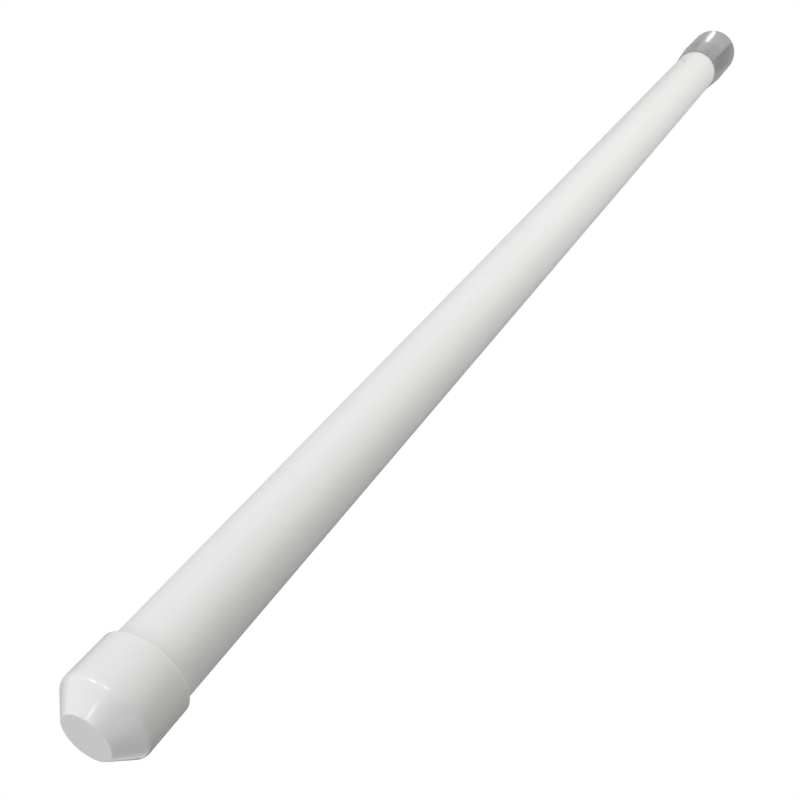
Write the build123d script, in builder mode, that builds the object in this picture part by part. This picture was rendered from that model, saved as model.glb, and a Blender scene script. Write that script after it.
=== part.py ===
"""Omnidirectional antenna: a fibreglass radome tube with a moulded top cap and a turned aluminium base
sleeve, around a UHF collinear of three in-phase half waves.

Millimetres. +Z runs up the antenna's axis. The origin is the middle of the sleeve's clamping barrel, where
a mast clamp holds it, and the N-type socket points down.
"""

from build123d import *
import os

os.makedirs("parts", exist_ok=True)

# Driving dimensions: radome, top cap and base sleeve
radome_od = 50.0
radome_wall = 2.5
radome_exposed = 1071.0  # from the sleeve's mouth to the cap's rim
glue_gap = 0.2  # bond line round the tube, in the sleeve and in the cap
bond_clear = 0.01  # between pieces that touch, so that they don't overlap
cutter_clear = 0.5  # how far a cutting shape reaches past the surface it starts from

cap_od = 56.4
cap_skirt = 31.0
cap_cone = 13.5
cap_face_r = 15.6
cap_socket = 28.0  # how far the tube goes into the cap
cap_wall = 3.2
cap_roof_inset = 2.0  # how much smaller the roof's inside is than the end face
cap_roof_step = 0.4  # from the shoulder up to where the inside starts to narrow
cap_edge_blend = 4.0
cap_face_blend = 1.2
cap_rim_blend = 0.6

barrel_od = 57.0
barrel_length = 54.0
mouth_taper = 36.0
mouth_lip = 0.5  # thickness of the sleeve at its mouth
end_round = 2.5
floor_thickness = 8.0
boss_clear = 0.2  # round the socket's boss, in the floor
sleeve_bond_length = 66.0
cap_bond_length = 27.5

# Driving dimensions: base plug and socket
plug_length = 36.0
plug_gap = 0.1
plug_bore = 14.0
plug_chamfer = 1.0
o_ring_rise = 27.0  # from the plug's lower face
o_ring_r = 0.85
o_ring_seat = 1.8
drain_circle_r = 17.0
drain_hole_d = 3.0

flange_side = 25.4
flange_corner = 1.6
flange_thickness = 3.0
gasket_thickness = 1.0
gasket_clear = 0.1  # round the boss, in the gasket
bolt_spacing = 18.26
screw_d = 3.0
screw_hole_d = 3.4
screw_length = 20.0
screw_head_d = 5.6
screw_head_height = 2.4
screw_head_blend = 1.0
washer_d = 6.4
washer_hole_d = 3.2
washer_thickness = 0.5
drive_slot = 0.8  # width of the cross recess
drive_reach = 0.7  # its length, as a share of the head's diameter
drive_depth = 1.44

socket_thread_d = 15.88
socket_reach = 18.0  # from the flange's face to the mating face
socket_thread_length = 11.0
socket_undercut_d = 14.0
socket_undercut = 2.0
socket_lead_in = 0.6
socket_bore_chamfer = 0.8
socket_bore_d = 8.2
socket_boss_d = 12.6
socket_boss_length = 9.0
contact_d = 3.04
contact_bore_d = 1.66
contact_slot = 0.3
contact_slot_depth = 6.0
contact_chamfer = 0.3
contact_rise = 2.0  # above the boss, for the solder cup
cup_depth = 4.0
contact_recess = 5.2
insulator_recess = 9.0

# Driving dimensions: radiators
tube_od = 14.0
tube_id = 12.0
half_wave = 320.0
quarter_wave = 160.0
skirt_od = 25.0
skirt_id = 23.0
skirt_clear = 9.0  # from the sleeve's mouth to the open end of the dipole's skirt
feed_gap = 6.0
collar_drop = 6.0  # from the skirt's top down to the collar that shorts it
phasing_gap = 36.0
slide_gap = 0.05
spigot_length = 18.0
coil_wire_d = 2.0
coil_clear = 0.3  # from the former's surface to the wire
coil_pitch = 5.0
coil_turns = 6
coil_lead = 8.0
coil_elbow_r = 1.2  # rounded bend from the coil to its lead
solder_width = 3.6
solder_corner = 0.9
solder_length = 6.0
pin_d = 2.0
pin_bore_d = 1.2
pin_inset = 9.0
pin_end_gap = 0.1  # from the pin's end to the radiator's surface

# Driving dimensions: feed cable and supports
conductor_d = 1.0
dielectric_d = 3.0
braid_d = 4.3
jacket_d = 5.0
collar_height = 8.0
jacket_trim = 2.0  # the jacket ends this far below the collar
spacer_height = 6.0
spacer_rises = (8.0, 78.0)  # above the skirt's open end
ferrule_shell = 6.0  # length of the ferrule over the boss
ferrule_length = 20.0
ferrule_cone = 2.0
ferrule_wall = 1.0
ferrule_shell_wall = 1.2
braid_rise = 7.0  # above the boss
jacket_gap = 0.5  # from the ferrule to the jacket's cut end
feed_ferrule_rise = 14.0  # above the lower radiator's end
feed_ferrule_height = 12.0
feed_ferrule_cup = 2.0  # the conductor stops this far below the ferrule's top
dielectric_gap = 0.5
shrink_wall = 0.6
shrink_lap = 10.0  # how far the sleeve covers the ferrule
shrink_tail = 14.0  # and how far it goes on over the jacket
shrink_cone = 2.3
tip_plug_depth = 12.0
tip_plug_head = 4.0
tip_plug_taper = 1.0
disc_thickness = 12.0
disc_od = 44.8
disc_clear = 0.05
lower_disc_rise = 96.0  # above the lower radiator's end
disc_rises = (80.0, 240.0)  # above the end of each longer radiator
skirt_disc_drop = 34.0  # from the skirt's top
pad_neck_r = 12.6
pad_cone = 4.0
pad_shoulder_drop = 2.0  # below the radome's top
bush_height = 20.0
radome_screw_rise = 38.0  # above the sleeve's mouth
radome_screw_length = 12.2
radome_screw_head_d = 5.6
radome_screw_depth = 0.15  # how far the head sits below the tube's surface
radome_drive_reach = 0.6
radome_drive_depth = 1.0

# Heights worked out from them
radome_r = radome_od / 2
radome_inner_r = radome_r - radome_wall
sleeve_bore_r = radome_r + glue_gap
barrel_top = barrel_length / 2
sleeve_bottom = -barrel_length / 2 - end_round
sleeve_mouth = barrel_top + mouth_taper
floor_top = sleeve_bottom + floor_thickness
plug_top = floor_top + plug_length
cap_rim = sleeve_mouth + radome_exposed
cap_shoulder = cap_rim + cap_skirt
cap_top = cap_shoulder + cap_cone
tube_stop = cap_rim + cap_socket

flange_top = sleeve_bottom - gasket_thickness
flange_bottom = flange_top - flange_thickness
socket_tip = flange_bottom - socket_reach
boss_top = flange_top + socket_boss_length

skirt_bottom = sleeve_mouth + skirt_clear
skirt_top = skirt_bottom + quarter_wave
lower_bottom = skirt_top + feed_gap
lower_top = lower_bottom + quarter_wave
middle_bottom = lower_top + phasing_gap
middle_top = middle_bottom + half_wave
upper_bottom = middle_top + phasing_gap
upper_top = upper_bottom + half_wave

pieces = {}


def ring(bottom, height, outer_r, inner_r):
    """A plain ring or tube that stands on the plane z = bottom."""
    with BuildPart() as piece:
        with BuildSketch(Plane.XY.offset(bottom)):
            Circle(outer_r)
            Circle(inner_r, mode=Mode.SUBTRACT)
        extrude(amount=height)
    return piece


def rod(bottom, height, radius):
    """A plain solid rod that stands on the plane z = bottom."""
    with BuildPart() as piece:
        with BuildSketch(Plane.XY.offset(bottom)):
            Circle(radius)
        extrude(amount=height)
    return piece


def turned(outline):
    """A solid turned about the antenna's axis from a closed (radius, height) outline."""
    with BuildPart() as piece:
        with BuildSketch(Plane.XZ):
            with BuildLine():
                Polyline(*outline, close=True)
            make_face()
        revolve(axis=Axis.Z)
    return piece


def edges_at(part, radius, height):
    """The circular edges of a turned part that have this radius and height."""
    circles = part.edges().filter_by(GeomType.CIRCLE)
    return circles.filter_by(lambda e: abs(e.radius - radius) < 0.01 and abs(e.center().Z - height) < 0.01)


def cross_hole_planes(heights):
    """One plane across the axis at each height, its normal along Y, for holes drilled right through."""
    return [Plane(origin=(0, 0, height), x_dir=(1, 0, 0), z_dir=(0, 1, 0)) for height in heights]


# ---------------------------------------------------------------- radome, cap and sleeve

radome_screw_z = sleeve_mouth + radome_screw_rise
screw_planes = [
    Plane(origin=(side * radome_r, 0, radome_screw_z), x_dir=(0, 1, 0), z_dir=(side, 0, 0))
    for side in (1, -1)
]
head_depth = (radome_screw_head_d - screw_d) / 2

with BuildPart() as radome_tube:
    with BuildSketch(Plane.XY.offset(floor_top)):
        Circle(radome_r)
        Circle(radome_inner_r, mode=Mode.SUBTRACT)
    extrude(amount=tube_stop - floor_top)
    for plane in screw_planes:
        with BuildSketch(plane):
            Circle(screw_d / 2 + slide_gap)
        extrude(amount=-2 * radome_wall, mode=Mode.SUBTRACT)
        with BuildSketch(plane.offset(cutter_clear)):
            Circle(radome_screw_head_d / 2 + slide_gap)
        extrude(amount=-cutter_clear - radome_screw_depth, mode=Mode.SUBTRACT)
        with BuildSketch(plane.offset(-radome_screw_depth)):
            Circle(radome_screw_head_d / 2 + slide_gap)
        with BuildSketch(plane.offset(-radome_screw_depth - head_depth)):
            Circle(screw_d / 2 + slide_gap)
        loft(mode=Mode.SUBTRACT)
pieces["radome_tube"] = radome_tube

with BuildPart() as top_cap:
    with BuildSketch(Plane.XZ):
        with BuildLine():
            Polyline(
                (0, cap_top),
                (cap_face_r, cap_top),
                (cap_od / 2, cap_shoulder),
                (cap_od / 2, cap_rim),
                (sleeve_bore_r, cap_rim),
                (sleeve_bore_r, tube_stop),
                (radome_inner_r, tube_stop),
                (radome_inner_r, cap_shoulder + cap_roof_step),
                (cap_face_r - cap_roof_inset, cap_top - cap_wall),
                (0, cap_top - cap_wall),
                close=True,
            )
        make_face()
    revolve(axis=Axis.Z)
    fillet(edges_at(top_cap, cap_od / 2, cap_shoulder), cap_edge_blend)
    fillet(edges_at(top_cap, cap_face_r, cap_top), cap_face_blend)
    fillet(edges_at(top_cap, cap_od / 2, cap_rim), cap_rim_blend)
pieces["top_cap"] = top_cap

pieces["cap_bond"] = ring(cap_rim, cap_bond_length, sleeve_bore_r - bond_clear, radome_r + bond_clear)

floor_holes = GridLocations(bolt_spacing, bolt_spacing, 2, 2).locations
drain_holes = PolarLocations(drain_circle_r, 2).locations

with BuildPart() as base_sleeve:
    with BuildSketch(Plane.XZ):
        with BuildLine():
            Polyline(
                (0, sleeve_bottom),
                (barrel_od / 2, sleeve_bottom),
                (barrel_od / 2, barrel_top),
                (sleeve_bore_r + mouth_lip, sleeve_mouth),
                (sleeve_bore_r, sleeve_mouth),
                (sleeve_bore_r, floor_top),
                (0, floor_top),
                close=True,
            )
        make_face()
    revolve(axis=Axis.Z)
    fillet(edges_at(base_sleeve, barrel_od / 2, sleeve_bottom), end_round)
    with BuildSketch(Plane.XY.offset(sleeve_bottom)):
        Circle(socket_boss_d / 2 + boss_clear)
        with Locations(*floor_holes):
            Circle(screw_hole_d / 2)
        with Locations(*drain_holes):
            Circle(drain_hole_d / 2)
    extrude(amount=floor_thickness, mode=Mode.SUBTRACT)
pieces["base_sleeve"] = base_sleeve

pieces["sleeve_bond"] = ring(
    sleeve_mouth - sleeve_bond_length, sleeve_bond_length, sleeve_bore_r - bond_clear, radome_r + bond_clear
)

# ---------------------------------------------------------------- base plug, O-ring and N-type socket

plug_r = radome_inner_r - plug_gap
o_ring_z = floor_top + o_ring_rise
o_ring_mid_r = radome_inner_r - bond_clear - o_ring_r

with BuildPart() as base_plug:
    with BuildSketch(Plane.XY.offset(floor_top)):
        Circle(plug_r)
    extrude(amount=plug_length)
    chamfer(base_plug.edges().group_by(Axis.Z)[-1], plug_chamfer)
    with BuildSketch(Plane.XY.offset(floor_top)):
        Circle(plug_bore / 2)
        with Locations(*floor_holes):
            Circle(screw_d / 2 + slide_gap)
        with Locations(*drain_holes):
            Circle(drain_hole_d / 2)
    extrude(amount=plug_length, mode=Mode.SUBTRACT)
    with BuildSketch(Plane.XY.offset(o_ring_z - o_ring_seat / 2)):
        Circle(plug_r + cutter_clear)
        Circle(o_ring_mid_r - o_ring_r - bond_clear, mode=Mode.SUBTRACT)
    extrude(amount=o_ring_seat, mode=Mode.SUBTRACT)
pieces["base_plug"] = base_plug

with BuildPart() as plug_o_ring:
    with BuildSketch(Plane.XZ):
        with Locations((o_ring_mid_r, o_ring_z)):
            Circle(o_ring_r)
    revolve(axis=Axis.Z)
pieces["plug_o_ring"] = plug_o_ring

with BuildPart() as socket_gasket:
    with BuildSketch(Plane.XY.offset(flange_top)):
        RectangleRounded(flange_side, flange_side, flange_corner)
        Circle(socket_boss_d / 2 + gasket_clear, mode=Mode.SUBTRACT)
        with Locations(*floor_holes):
            Circle(screw_hole_d / 2, mode=Mode.SUBTRACT)
    extrude(amount=gasket_thickness)
pieces["socket_gasket"] = socket_gasket

thread_top = socket_tip + socket_thread_length
insulator_bottom = socket_tip + insulator_recess

with BuildPart() as socket_body:
    with BuildSketch(Plane.XY.offset(flange_bottom)):
        RectangleRounded(flange_side, flange_side, flange_corner)
    extrude(amount=flange_thickness)
    with BuildSketch(Plane.XY.offset(flange_top)):
        Circle(socket_boss_d / 2)
    extrude(amount=socket_boss_length)
    with BuildSketch(Plane.XY.offset(flange_bottom)):
        Circle(socket_thread_d / 2)
    extrude(amount=thread_top + socket_undercut - flange_bottom)
    with BuildSketch(Plane.XY.offset(thread_top)):
        Circle(socket_undercut_d / 2)
    extrude(amount=socket_undercut)
    with BuildSketch(Plane.XY.offset(thread_top)):
        Circle(socket_thread_d / 2)
    extrude(amount=-socket_thread_length)
    chamfer(edges_at(socket_body, socket_thread_d / 2, socket_tip), socket_lead_in)
    with BuildSketch(Plane.XY.offset(socket_tip)):
        Circle(socket_bore_d / 2)
        with Locations(*floor_holes):
            Circle(screw_hole_d / 2)
    extrude(amount=boss_top - socket_tip, mode=Mode.SUBTRACT)
    chamfer(edges_at(socket_body, socket_bore_d / 2, socket_tip), socket_bore_chamfer)
pieces["socket_body"] = socket_body

pieces["socket_insulator"] = ring(
    insulator_bottom,
    boss_top - insulator_bottom,
    socket_bore_d / 2 - bond_clear,
    contact_d / 2 + bond_clear,
)

contact_bottom = socket_tip + contact_recess
contact_top = boss_top + contact_rise

with BuildPart() as socket_contact:
    with BuildSketch(Plane.XY.offset(contact_bottom)):
        Circle(contact_d / 2)
    extrude(amount=contact_top - contact_bottom)
    chamfer(edges_at(socket_contact, contact_d / 2, contact_bottom), contact_chamfer)
    with BuildSketch(Plane.XY.offset(contact_bottom)):
        Circle(contact_bore_d / 2)
        Rectangle(contact_d + cutter_clear, contact_slot)
        Rectangle(contact_slot, contact_d + cutter_clear)
    extrude(amount=contact_slot_depth, mode=Mode.SUBTRACT)
    with BuildSketch(Plane.XY.offset(contact_top - cup_depth)):
        Circle(conductor_d / 2 + slide_gap)
    extrude(amount=cup_depth, mode=Mode.SUBTRACT)
pieces["socket_contact"] = socket_contact

washer_top = flange_bottom
head_top = washer_top - washer_thickness

with BuildPart() as flange_washers:
    with BuildSketch(Plane.XY.offset(washer_top)):
        with Locations(*floor_holes):
            Circle(washer_d / 2)
        with Locations(*floor_holes):
            Circle(washer_hole_d / 2, mode=Mode.SUBTRACT)
    extrude(amount=-washer_thickness)
pieces["flange_washers"] = flange_washers

with BuildPart() as flange_screws:
    with BuildSketch(Plane.XY.offset(head_top)):
        with Locations(*floor_holes):
            Circle(screw_d / 2)
    extrude(amount=screw_length)
    with BuildSketch(Plane.XY.offset(head_top)):
        with Locations(*floor_holes):
            Circle(screw_head_d / 2)
    extrude(amount=-screw_head_height)
    fillet(flange_screws.edges().group_by(Axis.Z)[0], screw_head_blend)
    with BuildSketch(Plane.XY.offset(head_top - screw_head_height)):
        with Locations(*floor_holes):
            Rectangle(drive_reach * screw_head_d, drive_slot)
            Rectangle(drive_slot, drive_reach * screw_head_d)
    extrude(amount=drive_depth, mode=Mode.SUBTRACT)
pieces["flange_screws"] = flange_screws

# ---------------------------------------------------------------- feed cable

cable_bottom = boss_top + bond_clear
collar_top = skirt_top - collar_drop
collar_bottom = collar_top - collar_height
ferrule_step = boss_top + ferrule_shell
ferrule_top = boss_top + ferrule_length
braid_bottom = boss_top + braid_rise
jacket_bottom = ferrule_top + jacket_gap
jacket_top = collar_bottom - jacket_trim
feed_ferrule_bottom = lower_bottom + feed_ferrule_rise
conductor_bottom = contact_top - cup_depth + slide_gap
conductor_top = feed_ferrule_bottom + feed_ferrule_height - feed_ferrule_cup
dielectric_bottom = contact_top + dielectric_gap
dielectric_top = feed_ferrule_bottom - slide_gap

pieces["cable_conductor"] = rod(conductor_bottom, conductor_top - conductor_bottom, conductor_d / 2)
pieces["cable_dielectric"] = ring(
    dielectric_bottom,
    dielectric_top - dielectric_bottom,
    dielectric_d / 2,
    conductor_d / 2 + bond_clear,
)
pieces["cable_braid"] = ring(
    braid_bottom, collar_top - braid_bottom, braid_d / 2, dielectric_d / 2 + bond_clear
)
pieces["cable_jacket"] = ring(
    jacket_bottom, jacket_top - jacket_bottom, jacket_d / 2, braid_d / 2 + bond_clear
)
ferrule_r = jacket_d / 2 + ferrule_wall
shell_r = socket_boss_d / 2
pieces["cable_ferrule"] = turned(
    [
        (shell_r, cable_bottom),
        (shell_r, ferrule_step),
        (ferrule_r, ferrule_step + ferrule_cone),
        (ferrule_r, ferrule_top),
        (braid_d / 2 + slide_gap, ferrule_top),
        (braid_d / 2 + slide_gap, ferrule_step),
        (shell_r - ferrule_shell_wall, ferrule_step - ferrule_cone),
        (shell_r - ferrule_shell_wall, cable_bottom),
    ]
)
shrink_wide_r = ferrule_r + slide_gap
shrink_narrow_r = jacket_d / 2 + slide_gap
shrink_bottom = ferrule_top - shrink_lap
shrink_top = ferrule_top + shrink_tail
shrink_turn = ferrule_top + 2 * slide_gap
pieces["heat_shrink"] = turned(
    [
        (shrink_wide_r, shrink_bottom),
        (shrink_wide_r + shrink_wall, shrink_bottom),
        (shrink_wide_r + shrink_wall, shrink_turn),
        (shrink_narrow_r + shrink_wall, shrink_turn + shrink_cone),
        (shrink_narrow_r + shrink_wall, shrink_top),
        (shrink_narrow_r, shrink_top),
        (shrink_narrow_r, shrink_turn + ferrule_cone),
        (shrink_wide_r, shrink_turn),
    ]
)

# ---------------------------------------------------------------- fed dipole

pieces["dipole_skirt"] = ring(skirt_bottom, quarter_wave, skirt_od / 2, skirt_id / 2)
pieces["skirt_collar"] = ring(
    collar_bottom, collar_height, skirt_id / 2 - bond_clear, braid_d / 2 + bond_clear
)
for number, rise in enumerate(spacer_rises, start=1):
    pieces[f"skirt_spacer_{number}"] = ring(
        skirt_bottom + rise, spacer_height, skirt_id / 2 - slide_gap, jacket_d / 2 + slide_gap
    )

spool_bottom = collar_top + slide_gap
spool_top = feed_ferrule_bottom - slide_gap
pieces["feed_insulator"] = turned(
    [
        (dielectric_d / 2 + slide_gap, spool_bottom),
        (skirt_id / 2 - slide_gap, spool_bottom),
        (skirt_id / 2 - slide_gap, skirt_top),
        (skirt_od / 2, skirt_top),
        (skirt_od / 2, lower_bottom),
        (tube_id / 2 - slide_gap, lower_bottom),
        (tube_id / 2 - slide_gap, spool_top),
        (dielectric_d / 2 + slide_gap, spool_top),
    ]
)
pieces["feed_ferrule"] = ring(
    feed_ferrule_bottom, feed_ferrule_height, tube_id / 2 - bond_clear, conductor_d / 2 + bond_clear
)


def radiator(bottom, length, pin_heights):
    """A brass radiator tube with a cross hole for each roll pin."""
    with BuildPart() as piece:
        with BuildSketch(Plane.XY.offset(bottom)):
            Circle(tube_od / 2)
            Circle(tube_id / 2, mode=Mode.SUBTRACT)
        extrude(amount=length)
        for plane in cross_hole_planes(pin_heights):
            with BuildSketch(plane):
                Circle(pin_d / 2 + bond_clear)
            extrude(amount=tube_od, both=True, mode=Mode.SUBTRACT)
    return piece


coil_mean_r = tube_od / 2 + coil_clear + coil_wire_d / 2


def phasing_former(bottom):
    """The insulating rod between two radiators, with a cross-drilled spigot in each tube."""
    with BuildPart() as piece:
        with BuildSketch(Plane.XY.offset(bottom)):
            Circle(tube_od / 2)
        extrude(amount=phasing_gap)
        with BuildSketch(Plane.XY.offset(bottom - spigot_length)):
            Circle(tube_id / 2 - slide_gap)
        extrude(amount=phasing_gap + 2 * spigot_length)
        for plane in cross_hole_planes([bottom - pin_inset, bottom + phasing_gap + pin_inset]):
            with BuildSketch(plane):
                Circle(pin_d / 2 + bond_clear)
            extrude(amount=tube_od, both=True, mode=Mode.SUBTRACT)
    return piece


def phasing_coil(bottom):
    """A wire coil round the former, with a straight lead along each radiator's end."""
    coil_height = coil_pitch * coil_turns
    coil_bottom = bottom + (phasing_gap - coil_height) / 2
    lead = coil_bottom - bottom + coil_lead
    with BuildPart() as piece:
        with BuildLine(Plane.XY.offset(coil_bottom)):
            path = Helix(pitch=coil_pitch, height=coil_height, radius=coil_mean_r)
        with BuildSketch(Plane(origin=path @ 0, z_dir=path % 0)):
            Circle(coil_wire_d / 2)
        sweep()
        for start, direction in ((coil_bottom, -1), (coil_bottom + coil_height, 1)):
            with Locations((coil_mean_r, 0, start)):
                Sphere(coil_elbow_r)
            with BuildSketch(Plane.XY.offset(start)):
                with Locations((coil_mean_r, 0)):
                    Circle(coil_wire_d / 2)
            extrude(amount=direction * lead)
    return piece


pieces["radiator_lower"] = radiator(lower_bottom, quarter_wave, [lower_top - pin_inset])
pieces["radiator_middle"] = radiator(
    middle_bottom, half_wave, [middle_bottom + pin_inset, middle_top - pin_inset]
)
pieces["radiator_upper"] = radiator(upper_bottom, half_wave, [upper_bottom + pin_inset])
for number, bottom in enumerate((lower_top, middle_top), start=1):
    pieces[f"phasing_former_{number}"] = phasing_former(bottom)
    pieces[f"phasing_coil_{number}"] = phasing_coil(bottom)

with BuildPart() as former_pins:
    for plane in cross_hole_planes(
        [lower_top - pin_inset, middle_bottom + pin_inset, middle_top - pin_inset, upper_bottom + pin_inset]
    ):
        with BuildSketch(plane):
            Circle(pin_d / 2)
            Circle(pin_bore_d / 2, mode=Mode.SUBTRACT)
        extrude(amount=tube_od / 2 - pin_end_gap, both=True)
pieces["former_pins"] = former_pins

with BuildPart() as coil_solder:
    for gap_bottom in (lower_top, middle_top):
        for start in (gap_bottom - coil_lead, gap_bottom + phasing_gap + coil_lead - solder_length):
            with BuildSketch(Plane.XY.offset(start)):
                with Locations((tube_od / 2, 0)):
                    RectangleRounded(solder_width, solder_width, solder_corner)
                Circle(tube_od / 2 + bond_clear, mode=Mode.SUBTRACT)
                with Locations((coil_mean_r, 0)):
                    Circle(coil_wire_d / 2 + bond_clear, mode=Mode.SUBTRACT)
            extrude(amount=solder_length)
pieces["coil_solder"] = coil_solder

pad_bottom = upper_top + tip_plug_head
pieces["radiator_tip_plug"] = turned(
    [
        (0, upper_top - tip_plug_depth),
        (tube_id / 2 - slide_gap, upper_top - tip_plug_depth),
        (tube_id / 2 - slide_gap, upper_top),
        (tube_od / 2, upper_top),
        (tube_od / 2 - tip_plug_taper, pad_bottom),
        (0, pad_bottom),
    ]
)

# ---------------------------------------------------------------- supports inside the radome

with BuildPart() as support_bush:
    with BuildSketch(Plane.XY.offset(radome_screw_z - bush_height / 2)):
        Circle(radome_inner_r - slide_gap)
        Circle(skirt_od / 2 + disc_clear, mode=Mode.SUBTRACT)
    extrude(amount=bush_height)
    for plane in screw_planes:
        with BuildSketch(plane):
            Circle(screw_d / 2 + bond_clear)
        extrude(amount=-radome_r + skirt_od / 2, mode=Mode.SUBTRACT)
pieces["support_bush"] = support_bush

with BuildPart() as radome_screws:
    for plane in screw_planes:
        with BuildSketch(plane.offset(-radome_screw_depth)):
            Circle(radome_screw_head_d / 2)
        with BuildSketch(plane.offset(-radome_screw_depth - head_depth)):
            Circle(screw_d / 2)
        loft()
        with BuildSketch(plane.offset(-radome_screw_depth - head_depth)):
            Circle(screw_d / 2)
        extrude(amount=-radome_screw_length + head_depth)
        with BuildSketch(plane.offset(-radome_screw_depth)):
            Rectangle(radome_drive_reach * radome_screw_head_d, drive_slot)
            Rectangle(drive_slot, radome_drive_reach * radome_screw_head_d)
        extrude(amount=-radome_drive_depth, mode=Mode.SUBTRACT)
pieces["radome_screws"] = radome_screws

pieces["skirt_disc"] = ring(
    skirt_top - skirt_disc_drop, disc_thickness, disc_od / 2, skirt_od / 2 + disc_clear
)
disc_heights = [
    lower_bottom + lower_disc_rise,
    middle_bottom + disc_rises[0],
    middle_bottom + disc_rises[1],
    upper_bottom + disc_rises[0],
    upper_bottom + disc_rises[1],
]
for number, height in enumerate(disc_heights, start=1):
    pieces[f"centring_disc_{number}"] = ring(
        height, disc_thickness, disc_od / 2, tube_od / 2 + disc_clear
    )

pad_shoulder = tube_stop - pad_shoulder_drop
pad_top = cap_top - cap_wall - bond_clear
pieces["top_pad"] = turned(
    [
        (0, pad_bottom),
        (disc_od / 2, pad_bottom),
        (disc_od / 2, pad_shoulder),
        (pad_neck_r, pad_shoulder + pad_cone),
        (pad_neck_r, pad_top),
        (0, pad_top),
    ]
)

for name, piece in pieces.items():
    piece.part.label = name
    export_step(piece.part, f"parts/{name}.step")
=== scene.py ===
"""The looks of the omnidirectional antenna: its pieces' meshes and materials, the studio and the camera.

Metres, in the model's own frame: +Z runs up the antenna's axis from the middle of the clamping barrel. Places
come from the frame's own nodes; what a node's box can't say is a named size below.
"""

import math

import bmesh
import bpy
from mathutils import Matrix, Vector, noise


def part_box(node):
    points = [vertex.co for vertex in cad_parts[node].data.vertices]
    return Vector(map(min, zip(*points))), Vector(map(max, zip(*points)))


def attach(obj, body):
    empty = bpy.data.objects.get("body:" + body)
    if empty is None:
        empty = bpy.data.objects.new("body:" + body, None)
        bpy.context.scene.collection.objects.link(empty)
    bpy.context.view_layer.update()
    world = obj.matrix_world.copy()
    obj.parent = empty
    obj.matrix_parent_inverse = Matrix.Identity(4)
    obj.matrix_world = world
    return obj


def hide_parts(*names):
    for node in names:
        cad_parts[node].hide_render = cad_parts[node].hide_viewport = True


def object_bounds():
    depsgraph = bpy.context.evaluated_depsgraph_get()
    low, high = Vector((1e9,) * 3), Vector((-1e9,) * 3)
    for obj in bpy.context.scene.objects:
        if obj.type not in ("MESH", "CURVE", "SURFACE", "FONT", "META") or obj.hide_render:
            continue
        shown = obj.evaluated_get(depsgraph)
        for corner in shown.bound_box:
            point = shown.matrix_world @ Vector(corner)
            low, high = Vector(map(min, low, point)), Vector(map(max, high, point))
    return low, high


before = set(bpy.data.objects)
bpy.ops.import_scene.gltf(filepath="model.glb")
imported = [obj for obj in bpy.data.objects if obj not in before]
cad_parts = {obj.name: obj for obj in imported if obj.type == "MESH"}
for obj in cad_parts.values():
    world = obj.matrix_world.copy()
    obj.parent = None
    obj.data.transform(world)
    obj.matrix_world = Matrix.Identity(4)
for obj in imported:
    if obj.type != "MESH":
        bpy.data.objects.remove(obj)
cad_low, cad_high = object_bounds()

MM = 0.001

# ---- sizes that a node's box doesn't give

CAP_SKIRT = 31 * MM
CAP_FACE_R = 15.6 * MM
CAP_EDGE_BLEND = 4 * MM
CAP_FACE_BLEND = 1.2 * MM
CAP_RIM_BLEND = 0.6 * MM
CAP_WALL = 3.2 * MM
CAP_SOCKET = 28 * MM

MOUTH_TAPER = 36 * MM
MOUTH_LIP = 0.5 * MM
MOUTH_BLEND = 130 * MM
END_ROUND = 2.5 * MM
FLOOR_THICKNESS = 8 * MM
GLUE_GAP = 0.2 * MM
RADOME_WALL = 2.5 * MM

BOLT_SPACING = 18.26 * MM
SCREW_HOLE_R = 1.7 * MM
DRAIN_CIRCLE_R = 17 * MM
DRAIN_HOLE_R = 1.5 * MM
DRAINS = [(-DRAIN_CIRCLE_R, 0.0, DRAIN_HOLE_R), (DRAIN_CIRCLE_R, 0.0, DRAIN_HOLE_R)]
SCREW_HEAD_R = 2.8 * MM
SCREW_R = 1.5 * MM

THREAD_PITCH = 25.4 / 24 * MM
THREAD_CREST_R = 7.94 * MM
THREAD_DEPTH = 0.58 * MM
THREAD_LENGTH = 11 * MM
# Where a thread's groove starts, and how long its flank is, in shares of half its pitch.
GROOVE_START = 0.85
GROOVE_FLANK = 0.65
UNDERCUT_R = 7 * MM
UNDERCUT_LENGTH = 2 * MM
SOCKET_BORE_R = 4.1 * MM
FLANGE_CORNER = 1.6 * MM
FLANGE_THICKNESS = 3 * MM
GASKET_BORE_R = 6.4 * MM
PLUG_BORE_R = 7 * MM
M3_PITCH = 0.5 * MM
DRIVE_WIDTH = 0.8 * MM
RADOME_SCREW_LENGTH = 12.2 * MM
WASHER_HOLE_R = 1.6 * MM

SKIRT_BORE_R = 11.5 * MM
TUBE_BORE_R = 6 * MM
SPIGOT_LENGTH = 18 * MM
PIN_R = 1 * MM
PIN_INSET = 9 * MM
COIL_PITCH = 5 * MM
COIL_TURNS = 6
COIL_WIRE_R = 1 * MM
COIL_RADIUS = 8.3 * MM
COIL_LEAD = 8 * MM
SOLDER_LENGTH = 6 * MM
JOINTS = [("radiator_lower", "radiator_middle"), ("radiator_middle", "radiator_upper")]

GAP = 0.01 * MM
SLIDE = 0.05 * MM
TOUCH = 0.001 * MM
OVER = 2 * MM

# Edges sharper than this many degrees stay sharp.
CREASE = 32.0
ROUND_CREASE = 50.0
SOFT_CREASE = 60.0
SOLDER_CREASE = 70.0


# ---- mesh tools


def span_of(node):
    """Half the width of a turned node, and its lowest and highest point."""
    low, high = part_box(node)
    return (high.x - low.x) / 2, low.z, high.z


def radius_of(node):
    """Half the width of a turned node."""
    return span_of(node)[0]


def heights_of(node):
    """Lowest and highest point of a node."""
    return span_of(node)[1:]


def shift(x, y, z):
    """The matrix that moves by this much."""
    return Matrix.Translation((x, y, z))


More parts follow.
